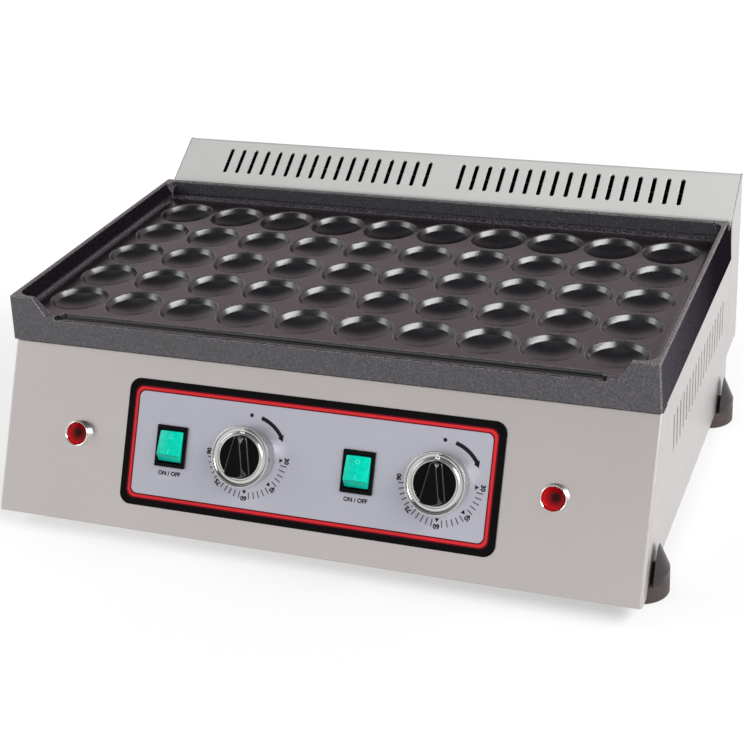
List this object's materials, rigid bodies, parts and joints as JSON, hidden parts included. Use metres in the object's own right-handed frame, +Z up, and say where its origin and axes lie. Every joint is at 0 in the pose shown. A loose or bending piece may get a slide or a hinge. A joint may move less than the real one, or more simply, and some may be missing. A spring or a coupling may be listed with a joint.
{
  "type": "mini pancake maker",
  "caption": "Countertop electric mini pancake maker: cast dimple plate in a tray on a folded steel body with a sloped control front, slotted rear flue and rubber feet.",
  "frame": {"origin": "on the floor under the middle of the outline", "axes": "+X to the right seen from the front, +Y to the back, +Z up"},
  "size_m": [0.5386, 0.3932, 0.1951],
  "materials": {
    "plate": "dark matt non-stick coating on a casting",
    "steel": "satin stainless sheet",
    "shield": "bright mill sheet",
    "zinc": "zinc plated",
    "heater": "oxidised tube",
    "fascia": "printed satin sheet",
    "black_plastic": "fine satin",
    "green_plastic": "glossy translucent",
    "chrome": "polished",
    "red_lens": "glossy translucent",
    "pale_plastic": "moulded",
    "copper": "bare drawn tube",
    "rubber": "matt"
  },
  "bodies": {
    "housing": {"cooking_plate": "plate", "front_panel": "steel", "left_side_panel": "steel", "right_side_panel": "steel", "rear_panel": "steel", "base_tray": "steel", "flue_cover": "steel", "flue_back": "steel", "flue_left_end": "steel", "flue_right_end": "steel", "left_support_rail": "steel", "right_support_rail": "steel", "heat_shield": "shield", "plate_bolts": "zinc", "left_heating_element": "heater", "right_heating_element": "heater", "heater_clamps": "steel", "clamp_studs": "zinc", "clamp_nuts": "zinc", "control_fascia": "fascia", "left_switch_body": "black_plastic", "right_switch_body": "black_plastic", "left_thermostat": "pale_plastic", "right_thermostat": "pale_plastic", "thermostat_screws": "zinc", "left_lamp_bezel": "chrome", "right_lamp_bezel": "chrome", "left_lamp_lens": "red_lens", "right_lamp_lens": "red_lens", "left_lamp_body": "pale_plastic", "right_lamp_body": "pale_plastic", "left_lamp_nut": "chrome", "right_lamp_nut": "chrome", "left_sensor": "copper", "right_sensor": "copper", "sensor_clips": "steel", "front_left_foot": "rubber", "front_right_foot": "rubber", "rear_left_foot": "rubber", "rear_right_foot": "rubber", "foot_screws": "zinc", "foot_nuts": "zinc", "base_screws": "zinc", "cable_gland": "black_plastic", "gland_nut": "black_plastic", "terminal_block": "pale_plastic"},
    "left_knob": {"left_knob_grip": "black_plastic", "left_knob_ring": "chrome", "left_thermostat_shaft": "zinc"},
    "right_knob": {"right_knob_grip": "black_plastic", "right_knob_ring": "chrome", "right_thermostat_shaft": "zinc"},
    "left_rocker_body": {"left_rocker": "green_plastic"},
    "right_rocker_body": {"right_rocker": "green_plastic"}
  },
  "joints": [
    {"name": "left_knob_turn", "type": "hinge", "parent": "housing", "child": "left_knob", "pos_m": [-0.0485, -0.16603, 0.07454], "axis": [0, 0.8957, -0.4446], "range_deg": [0, 270]},
    {"name": "right_knob_turn", "type": "hinge", "parent": "housing", "child": "right_knob", "pos_m": [0.1049, -0.16603, 0.07454], "axis": [0, 0.8957, -0.4446], "range_deg": [0, 270]},
    {"name": "left_rocker_tip", "type": "hinge", "parent": "housing", "child": "left_rocker_body", "pos_m": [-0.1125, -0.16495, 0.07333], "axis": [1, 0, 0], "range_deg": [0, 24]},
    {"name": "right_rocker_tip", "type": "hinge", "parent": "housing", "child": "right_rocker_body", "pos_m": [0.0409, -0.16495, 0.07333], "axis": [1, 0, 0], "range_deg": [0, 24]}
  ]
}
